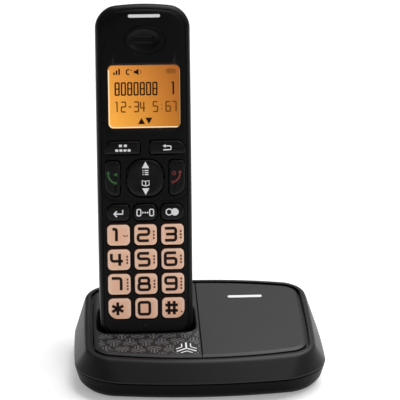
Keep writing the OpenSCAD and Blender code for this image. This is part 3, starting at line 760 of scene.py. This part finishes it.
def build_battery_cover():
    rings = [hs_ring(*r) for r in BACK_IN[::-1]] + [hs_ring(*r) for r in BACK]
    cover = loft("cover", rings, [FACE])
    x, (lo, hi) = 16.0, BAY
    keep = loft("keep", [[hs(a, y, b) for a, b in rounded(2 * x + 2 * g, hi - lo + 2 * g, 0.8, 4)] for y, g in
                         ((21.8, 0), (30, 0))])
    for v in keep.data.vertices:
        v.co += (hs(0, 0, (lo + hi) / 2) - hs(0, 0, 0)) * MM
    cut(cover, [keep], "INTERSECT")
    grips = []
    for i in range(5):
        z = 72 - i * 2.2
        pts = [(a, z + b) for a, b in rounded(13 - abs(i - 2) * 1.2, 0.8, 0.39, 5)]
        grips.append(prism("grip", pts, 24.35, 27, hs))
    cut(cover, grips)
    soften(cover, 40)
    level_normals(cover)
    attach(cover, "battery_cover_body")
    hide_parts("battery_cover")


def keycap(name, k, rows, mats, seg_mats):
    rings = [[hs(x, y, z) for x, z in key_outline(k, g)] for g, y in rows]
    return loft(name, rings, mats, seg_mats=seg_mats, cap_mats=(1 if len(mats) > 1 else 0, 0))


def build_keys():
    number = [(0, 3.6), (0, 0.4), (0, -0.4), (-0.07, -0.62), (-0.22, -0.78), (-0.45, -0.87), (-0.8, -0.91),
              (-1.5, -0.94), (-2.6, -0.96), (-4.0, -0.97)]
    dark = [(0, 3.6), (0, -0.35), (-0.08, -0.58), (-0.25, -0.76), (-0.5, -0.86), (-0.9, -0.92), (-1.5, -0.96),
            (-2.2, -0.98)]
    for name, k in KEYS.items():
        if name in NUM_NAMES:
            # the two side-wall segments take the painted-shade side material
            obj = keycap("cap_" + name, k, number, [CAP, CAP_SIDE_SHADE], [1, 1] + [0] * 7)
        else:
            obj = keycap("cap_" + name, k, dark, [KEYBLACK], None)
        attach(obj, name + "_body")
        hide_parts(name)
    rocker = [(-0.1, 3.2), (-0.1, 0.0), (-0.2, -0.22), (-0.45, -0.42), (-0.9, -0.55), (-1.7, -0.62),
              (-3, -0.6), (-5, -0.5), (-7, -0.42)]
    obj = keycap("cap_nav", NAV, rocker, [KEYBLACK], None)
    axle = loft("axle", [[hs(x, 3.4 + a, NAV_Z + b) for a, b in circle(0, 0, 0.5, 24)]
                         for x in (-10.5, 11.1)], [KEYBLACK])
    cut(obj, [axle], "UNION")
    soften(obj, 40)
    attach(obj, "nav_key_body")
    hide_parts("nav_key")


def build_display():
    shift, wide, tall, corner_r = 0.3, 35.6, 31.4, 2.8
    rows = ((1.48, 0), (0.75, 0), (0.6, -0.12), (0.52, -0.3), (0.5, -0.9))
    rings = []
    for y, g in rows:
        pts = rounded(wide + 2 * g, tall + 2 * g, corner_r + g)
        rings.append([hs(shift + x, y, LCD_Z + z) for x, z in pts])
    lens = loft("window", rings, [GLASS])
    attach(lens, "handset")
    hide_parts("display_lens")
    face = [(shift + x, LCD_Z + z) for x, z in rounded(35.4, 33.0, 0.6, 3)]
    panel = prism("lcd_glass", face, 2.6, 3.9, hs, [LCD])
    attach(panel, "handset")
    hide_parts("lcd_panel")


# ---------------------------------------------------------------- legends
def on_face(y):
    """Maps x and height on the handset to a point at depth y."""
    return lambda a, b: hs(a, y, b)


def layer(name, parts, mat, body, thick=0.05):
    """Thin printed layer from several (verts, faces), thickened towards the surface below it."""
    verts, faces = [], []
    for v, f in parts:
        off = len(verts)
        verts += v
        faces += [tuple(off + i for i in q) for q in f]
    obj = new_object(name, verts, faces, [mat], 0)
    m = obj.modifiers.new("thick", "SOLIDIFY")
    m.thickness, m.offset = thick * MM, 0
    bake_modifiers(obj)
    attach(obj, body)
    return obj


# strokes of the digits on a 1 x 1.1 cell, each as (path, closed)
GLYPHS = {
    "0": [([(0, 0), (1, 0), (1, 1.1), (0, 1.1)], True)],
    "1": [([(0.14, 1.1), (0.5, 1.1), (0.5, 0)], False)],
    "2": [([(0, 1.1), (1, 1.1), (1, 0.56), (0, 0.56), (0, 0), (1, 0)], False)],
    "3": [([(0, 1.1), (1, 1.1), (1, 0.56), (0.1, 0.56)], False),
          ([(0.6, 0.56), (1, 0.56), (1, 0), (0, 0)], False)],
    "4": [([(0, 1.1), (0, 0.42), (1.06, 0.42)], False), ([(0.76, 1.1), (0.76, 0)], False)],
    "5": [([(1, 1.1), (0, 1.1), (0, 0.6), (1, 0.6), (1, 0), (0, 0)], False)],
    "6": [([(1, 1.1), (0, 1.1), (0, 0), (1, 0), (1, 0.6), (0.05, 0.6)], False)],
    "7": [([(0, 1.1), (0.86, 1.1), (0.86, 0)], False)],
    "8": [([(0, 0), (1, 0), (1, 0.57), (0, 0.57)], True),
          ([(0.06, 0.57), (0.94, 0.57), (0.94, 1.1), (0.06, 1.1)], True)],
    "9": [([(0, 0), (1, 0), (1, 1.1), (0, 1.1), (0, 0.54), (0.95, 0.54)], False)],
    "#": [([(0.3, 0), (0.3, 1.1)], False), ([(0.74, 0), (0.74, 1.1)], False),
          ([(0, 0.32), (1.04, 0.32)], False), ([(0, 0.78), (1.04, 0.78)], False)],
    "*": [([(0.5, 0.02), (0.5, 1.08)], False), ([(0.04, 0.3), (0.96, 0.8)], False),
          ([(0.04, 0.8), (0.96, 0.3)], False)],
    "-": [([(0.2, 0.55), (0.8, 0.55)], False)],
    ":": [([(0.5, 0.25), (0.5, 0.33)], False), ([(0.5, 0.75), (0.5, 0.83)], False)],
}


def glyph(ch, x, z, w, h, width, place, corner=0.28):
    """Strokes of one digit with its lower left corner at x, z."""
    out = []
    for path, closed in GLYPHS[ch]:
        pts = [(x + a * w, z + b * h / 1.1) for a, b in path]
        out.append(stroke(fillet(pts, corner * w, closed), width, place, closed))
    return out


def lines(paths, width, place, r=0.0, closed=False):
    return [stroke(fillet(p, r, closed) if r else [Vector(q) for q in p], width, place, closed)
            for p in paths]


def bar(cx, cz, w, h, place, r=None):
    pts = [(cx + x, cz + z) for x, z in rounded(w, h, r if r is not None else min(w, h) / 2 - 0.01, 5)]
    return flat(pts, place)


def build_legends():
    place = on_face(-0.985)
    for i, name in enumerate(NUM_NAMES):
        x0, z0 = KEYS[name][0], KEYS[name][1]
        ch = "123456789*0#"[i]
        big = 1.12 if ch in "*#" else 1.0
        parts = glyph(ch, x0 - 3.7 - (big - 1) * 2, z0 + 0.1 - 3.0 * big, 5.3 * big, 6.0 * big, 1.42,
                      place, 0.24)
        layer("digit_" + name, parts, DIGIT, name + "_body")
        marks = []
        if ch in "23456789":
            n = 4 if ch in "79" else 3
            for k in range(n):
                marks.append(bar(x0 + 4.05, z0 + (k - (n - 1) / 2) * 1.6, 0.9, 1.0, place, 0.15))
        elif ch == "1":
            marks.append(stroke(fillet([(x0 + 2.3, z0 + 0.2), (x0 + 2.6, z0 - 0.5), (x0 + 4.2, z0 - 0.5),
                                        (x0 + 4.5, z0 + 0.2)], 0.6), 0.38, place))
        elif ch == "#":
            marks.append(disc(x0 + 4.1, z0 - 1.9, 0.42, place))
        if marks:
            layer("marks_" + name, marks, BROWN, name + "_body")

    place = on_face(-1.0)
    x0, z0 = KEYS["menu_key"][:2]
    two = [bar(x0 + 0.4 + d, z0 + 1.15, 1.5, 1.25, place, 0.3) for d in (-1.2, 1.2)]
    two += [bar(x0 + 0.4 + d, z0 - 1.15, 1.5, 1.15, place, 0.3) for d in (-3.0, -1.0, 1.0, 3.0)]
    layer("legend_menu", two, WHITE_PRINT_GLOW, "menu_key_body")
    x0, z0 = KEYS["back_key"][:2]
    back = lines([[(x0 - 2.2, z0 - 1.1), (x0 + 1.6, z0 - 1.1), (x0 + 1.6, z0 + 0.75), (x0 - 1.2, z0 + 0.75)]],
                 0.55, place, 0.8)
    back.append(flat([(x0 - 2.5, z0 + 0.75), (x0 - 1.0, z0 + 1.65), (x0 - 1.0, z0 - 0.15)], place))
    layer("legend_back", back, WHITE_PRINT_GLOW, "back_key_body")
    for key, mat, sgn in (("talk_key", GREEN_PRINT_GLOW, 1), ("end_key", RED_PRINT_GLOW, -1)):
        x0, z0 = KEYS[key][:2]
        x0, z0 = x0 - (0.2 if sgn > 0 else 0.5), z0 + 0.95
        arcpts = [(x0 + sgn * (-1.9), z0 + 2.0), (x0 + sgn * (-1.7), z0 - 0.6), (x0 + sgn * 0.2, z0 - 2.6),
                  (x0 + sgn * 1.6, z0 - 3.0)]
        parts = [stroke(fillet(arcpts, 1.6), 0.75, place)]
        parts.append(disc(x0 - sgn * 1.9, z0 + 1.9, 0.72, place))
        parts.append(disc(x0 + sgn * 1.5, z0 - 2.95, 0.72, place))
        if sgn > 0:
            parts.append(flat([(x0 + 0.6, z0 + 1.2), (x0 + 2.6, z0 + 2.0), (x0 + 2.4, z0 + 0.2)], place))
        else:
            parts.append(stroke([Vector(p) for p in circle(x0 - 1.0, z0 + 1.5, 0.8, 20)], 0.4, place, True))
        layer("legend_" + key, parts, mat, key + "_body")
    x0, z0 = KEYS["recall_key"][:2]
    bend = [Vector((x0 + d, z0 + e)) for d, e in ((2.2, 1.5), (2.2, -0.5), (-2, -0.5))]
    head = [Vector((x0 + d, z0 + e)) for d, e in ((-0.7, 0.9), (-2.1, -0.5), (-0.7, -1.9))]
    parts = [stroke(bend, 0.7, place), stroke(head, 0.7, place)]
    layer("legend_recall", parts, WHITE_PRINT_GLOW, "recall_key_body")
    x0, z0 = KEYS["intercom_key"][:2]
    parts = [stroke([Vector((x0 + d + a, z0 + b)) for a, b in rounded(1.9, 3.2, 0.6, 4)], 0.55, place, True)
             for d in (-3.1, 3.1)]
    parts += [bar(x0 + d, z0, 0.8, 0.8, place) for d in (-1.2, 0, 1.2)]
    layer("legend_intercom", parts, WHITE_PRINT_GLOW, "intercom_key_body")
    x0, z0 = KEYS["redial_key"][:2]
    parts = [stroke([Vector(p) for p in circle(x0 - 1.5, z0 + 0.1, 1.5, 32)], 0.6, place, True),
             disc(x0 + 1.3, z0 + 0.1, 1.85, place, 32)]
    layer("legend_redial", parts, WHITE_PRINT_GLOW, "redial_key_body")

    place = on_face(-0.66)
    x0, z0 = NAV[0] + 0.1, NAV[1]
    parts = [flat([(x0 - 1.75, z0 + 5.0), (x0 + 1.75, z0 + 5.0), (x0, z0 + 8.3)], place),
             flat([(x0 - 1.75, z0 - 4.9), (x0, z0 - 8.2), (x0 + 1.75, z0 - 4.9)], place)]
    for d in (0, 1, 2):
        parts += [bar(x0 - 1.2, z0 + 1.9 + d, 0.55, 0.55, place),
                  bar(x0 + 0.5, z0 + 1.9 + d, 1.9, 0.5, place, 0.1)]
    for e in (-1, 1):
        page = [(x0, z0 - 1.5), (x0 + e * 1.7, z0 - 1.1), (x0 + e * 1.7, z0 - 3.3), (x0, z0 - 3.8)]
        parts += lines([page], 0.45, place)
    parts += lines([[(x0, z0 - 1.4), (x0, z0 - 3.8)]], 0.45, place)
    layer("legend_nav", parts, WHITE_PRINT_GLOW, "nav_key_body")
    face = on_face(-0.02)
    layer("plain_mark", [bar(0.7, 163.4, 15.5, 1.5, face)], WHITE_PRINT_GLOW, "handset", 0.08)


def build_screen():
    place = on_face(2.56)
    x0, z0 = 0.3 + 0.2, LCD_Z
    dark, light = [], []
    zi = z0 + 1.3
    for i in range(3):
        dark.append(bar(x0 - 14.6 + i * 1.25, zi + 10.0 + 0.45 * i, 0.8, 1.2 + 0.9 * i, place, 0.05))
    dark.append(stroke(fillet([(x0 - 7.2, zi + 11.9), (x0 - 8.6, zi + 11.7), (x0 - 8.6, zi + 9.7),
                               (x0 - 7.2, zi + 9.5)], 0.9), 0.6, place))
    dark.append(bar(x0 - 6.3, zi + 11.6, 0.9, 0.4, place, 0.05))
    dark.append(flat([(x0 - 5.0, zi + 10.1), (x0 - 4.1, zi + 10.1), (x0 - 2.7, zi + 9.1),
                      (x0 - 2.7, zi + 12.3), (x0 - 4.1, zi + 11.3), (x0 - 5.0, zi + 11.3)], place))
    light.append(stroke(fillet([(x0 - 1.9, zi + 9.7), (x0 - 1.4, zi + 10.7), (x0 - 1.9, zi + 11.7)],
                               0.7), 0.35, place))
    light.append(stroke([Vector((x0 + 13.0 + a, zi + 10.9 + b)) for a, b in rounded(4.2, 1.9, 0.7, 4)],
                        0.35, place, True))
    for i in range(3):
        light.append(bar(x0 + 11.9 + i * 1.05, zi + 10.9, 0.6, 1.1, place, 0.05))
    # first row: plain blocks in place of a name, then a number
    for i in range(7):
        a = x0 - 13.2 + i * 3.05
        dark.append(stroke([Vector((a + p, z0 + 3.8 + q)) for p, q in rounded(1.8, 5.9, 0.3, 3)],
                           0.72, place, True))
        if i % 2 == 0:
            dark.append(bar(a, z0 + 3.8, 1.4, 0.6, place, 0.05))
    dark += glyph("1", x0 + 12.9, z0 + 0.9, 2.3, 5.9, 0.8, place, 0.1)
    for i, ch in enumerate("12-34 5:67"):
        if ch != " ":
            light += glyph(ch, x0 - 14.4 + i * 3.1, z0 - 7.4, 2.1, 4.8, 0.62, place, 0.2)
    dark.append(flat([(x0 - 3.3, z0 - 13.5), (x0 + 0.1, z0 - 13.5), (x0 - 1.6, z0 - 10.4)], place))
    dark.append(flat([(x0 + 0.3, z0 - 10.4), (x0 + 2.0, z0 - 13.5), (x0 + 3.7, z0 - 10.4)], place))
    edge = fillet([(x0 - 17.2, z0 + 13.0), (x0 - 17.2, z0 - 15.0), (x0 + 17.2, z0 - 15.0)], 2.2)
    layer("screen_edge", [stroke(edge, 0.45, place)], LIT, "handset")
    edge = [Vector((x0 + 17.2, z0 - 14.2)), Vector((x0 + 17.2, z0 + 13.0))]
    layer("screen_edge_right", [stroke(edge, 0.3, place)], LIT2, "handset")
    layer("screen_dark", dark, INK, "handset")
    layer("screen_light", light, INK2, "handset")


def on_deck_at(z):
    return lambda a, b: deck(a, b, z)


def inside(pt, poly):
    x, y = pt
    hit = False
    for (x1, y1), (x2, y2) in zip(poly, poly[1:] + poly[:1]):
        if (y1 > y) != (y2 > y) and x < (x2 - x1) * (y - y1) / (y2 - y1) + x1:
            hit = not hit
    return hit


def clipped(a, b, test, step=0.15):
    """The parts of the segment a-b that pass the test."""
    a, b = Vector(a), Vector(b)
    n = max(2, int((b - a).length / step))
    run, out = [], []
    for i in range(n + 1):
        p = a.lerp(b, i / n)
        if test(p):
            run.append(p)
        elif run:
            out.append(run)
            run = []
    if run:
        out.append(run)
    return [[r[0], r[-1]] for r in out if len(r) > 3]


def build_pattern():
    """Three-armed stars in front of the well, with a V between each pair of arms; the grey strokes are painted
    highlight standing in for the raised relief.
    """
    border = rim_outline(PANEL_IN + 2.1)
    lip = [(p.x, p.y / math.cos(_t)) for p in (to_deck(x, y, PANEL_UP) for x, y in well_ring(1.9))]
    cell, accent_size, accent_clear = 4.5, 6.6, 6.1
    arm_share, vee_start, vee_share = 0.84, 0.38, 0.5
    arm_width, vee_width = 0.85, 0.6
    first = Vector((-7.2, -27.2))
    place = on_deck_at(PANEL_UP + 0.02)

    def test(p):
        return (p.x < SEAM_X - 0.9 and p.y < -5.5 and inside((p.x, p.y), border)
                and not inside((p.x, p.y), lip))

    def around(p):
        return test(p) and (p - first).length > accent_clear

    def way(degrees):
        return Vector((math.cos(math.radians(degrees)), math.sin(math.radians(degrees))))

    thin, light, white = [], [], []
    for i in range(-8, 3):
        for j in range(-3, 5):
            c = first + Vector((cell * math.sqrt(3) * (i + 0.5 * (j % 2)), cell * 1.5 * j))
            near = (i, j) == (0, 0)
            turn = 90 if near or (i + j) % 2 else 30
            size, keep = (accent_size, test) if near else (cell, around)
            for k in range(3):
                t = turn + 120 * k
                for r in clipped(c, c + way(t) * size * arm_share, keep):
                    (white if near else light).append(stroke(r, arm_width, place))
                tip = c + way(t + 60) * size * vee_start
                for leg in (t, t + 120):
                    for r in clipped(tip, tip + way(leg) * size * vee_share, keep):
                        (white if near else thin).append(stroke(r, vee_width, place))
    layer("deck_pattern", thin, RELIEF_HIGHLIGHT, "base", 0.05)
    layer("deck_relief", light, RELIEF_HIGHLIGHT, "base", 0.05)
    layer("deck_accent", white, WHITE_PRINT_GLOW, "base", 0.06)
    layer("deck_mark", [bar(24.9, 23.0, 17.5, 2.3, on_deck_at(PANEL_UP + 0.02))], WHITE_PRINT_GLOW, "base", 0.06)


# ---------------------------------------------------------------- camera, light, floor
def build_stage():
    scene = bpy.context.scene
    scene.view_settings.view_transform = "Standard"
    cam = bpy.data.objects.new("camera", bpy.data.cameras.new("camera"))
    scene.collection.objects.link(cam)
    scene.camera = cam
    cam.data.sensor_width = 36
    cam.data.lens = 183.9
    cam.data.clip_start, cam.data.clip_end = 0.05, 20
    eye, aim = Vector((-49.00, -936.36, 429.52)) * MM, Vector((1.00, 2.00, 87.50)) * MM
    cam.location = eye
    cam.rotation_euler = (aim - eye).to_track_quat("-Z", "Y").to_euler()

    floor_mat = material("floor", (0.86, 0.86, 0.86), 0.7, 2.0, 0.02, 0.01, spec=0.2)
    glow(floor_mat, (1, 1, 1), 0.3)
    n, size = 40, 6000.0
    verts = [Vector((size * (i / n - 0.5), size * (j / n - 0.5), -0.05))
             for j in range(n + 1) for i in range(n + 1)]
    faces = [(j * (n + 1) + i, j * (n + 1) + i + 1, (j + 1) * (n + 1) + i + 1, (j + 1) * (n + 1) + i)
             for j in range(n) for i in range(n)]
    floor = new_object("floor", verts, faces, [floor_mat])

    world = bpy.data.worlds.new("studio")
    scene.world = world
    world.use_nodes = True
    nt = world.node_tree
    bg = nt.nodes["Background"]
    tc = nt.nodes.new("ShaderNodeTexCoord")
    sep = nt.nodes.new("ShaderNodeSeparateXYZ")
    nt.links.new(tc.outputs["Generated"], sep.inputs["Vector"])
    def span(axis, lo, hi, a, b):
        mr = nt.nodes.new("ShaderNodeMapRange")
        mr.interpolation_type = "SMOOTHSTEP"
        mr.inputs["From Min"].default_value, mr.inputs["From Max"].default_value = lo, hi
        mr.inputs["To Min"].default_value, mr.inputs["To Max"].default_value = a, b
        nt.links.new(sep.outputs[axis], mr.inputs["Value"])
        return mr.outputs["Result"]

    def combine(op, p, q):
        m = nt.nodes.new("ShaderNodeMath")
        m.operation = op
        nt.links.new(p, m.inputs[0])
        nt.links.new(q, m.inputs[1])
        return m.outputs[0]

    # brightest above and behind, brighter on the right than on the left
    level = combine("ADD", span("Y", -0.2, 0.9, 0.1, 0.42), span("Z", 0.2, 1.0, 0.0, 0.3))
    level = combine("MULTIPLY", level, span("X", -1, 1, 0.4, 1.2))
    nt.links.new(level, bg.inputs["Strength"])
    bg.inputs["Color"].default_value = (1, 1, 1, 1)

    def area(name, loc, aim_at, size_xy, power):
        light = bpy.data.lights.new(name, "AREA")
        light.shape, light.size, light.size_y = "RECTANGLE", size_xy[0] * MM, size_xy[1] * MM
        light.energy = power
        obj = bpy.data.objects.new(name, light)
        scene.collection.objects.link(obj)
        obj.location = Vector(loc) * MM
        obj.rotation_euler = (Vector(aim_at) * MM - obj.location).to_track_quat("-Z", "Y").to_euler()

    area("over", (450, 300, 1500), (0, 0, 0), (1500, 1100), 24)
    area("left", (-1300, 150, 700), (0, 0, 80), (400, 1200), 0.8)
    area("right", (1300, 250, 800), (0, 0, 80), (400, 1200), 1.2)
    area("front", (500, -900, 800), (0, 0, 100), (350, 350), 1.2)


build_upper_shell()
build_lower_shell()
build_cradle_panel()
build_cover_panel()
build_page_button()
build_front_shell()
build_back_shell()
build_battery_cover()
build_keys()
build_display()
build_legends()
build_screen()
build_pattern()
build_stage()
